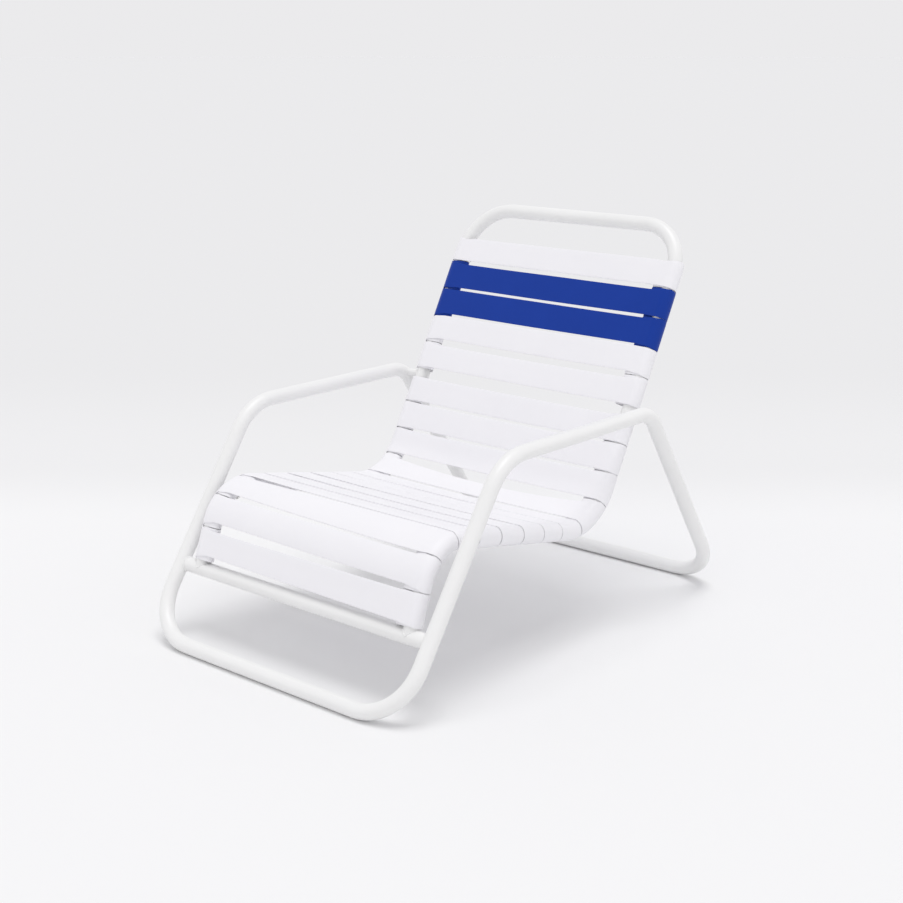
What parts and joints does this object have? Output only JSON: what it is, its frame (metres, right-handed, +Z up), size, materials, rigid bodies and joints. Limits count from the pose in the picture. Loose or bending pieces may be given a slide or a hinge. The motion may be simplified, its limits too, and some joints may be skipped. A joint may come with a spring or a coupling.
{
  "type": "beach chair",
  "caption": "Low sand chair with a welded tube frame, sled base with arm loops, and a reclined seat and back of wide vinyl straps, all fixed together.",
  "frame": {"origin": "on the floor, at the middle of the chair's box", "axes": "+Z up; the sitter faces -Y, so +Y points to the back of the chair; +X is the sitter's left"},
  "size_m": [0.5894, 0.8864, 0.6727],
  "materials": {
    "frame": "white semi-gloss powder coat",
    "strap_white": "white vinyl, satin with fine lengthwise grain",
    "strap_blue": "royal blue vinyl, satin with fine lengthwise grain",
    "rivet": "natural white nylon",
    "sleeve": "bare aluminium"
  },
  "bodies": {
    "root": {"back_spacer_left": "frame", "back_spacer_right": "frame", "base_splice_sleeve": "sleeve", "base_splice_weld": "frame", "base_tube": "frame", "front_crossbar": "frame", "seat_back_tube": "frame", "strap_01_white": "strap_white", "strap_02_blue": "strap_blue", "strap_03_blue": "strap_blue", "strap_04_white": "strap_white", "strap_05_white": "strap_white", "strap_06_white": "strap_white", "strap_07_white": "strap_white", "strap_08_white": "strap_white", "strap_09_white": "strap_white", "strap_10_white": "strap_white", "strap_11_white": "strap_white", "strap_12_white": "strap_white", "strap_13_white": "strap_white", "strap_14_white": "strap_white", "strap_15_white": "strap_white", "strap_16_white": "strap_white", "strap_17_white": "strap_white", "strap_18_white": "strap_white", "strap_rivets_left": "rivet", "strap_rivets_right": "rivet"}
  },
  "joints": []
}
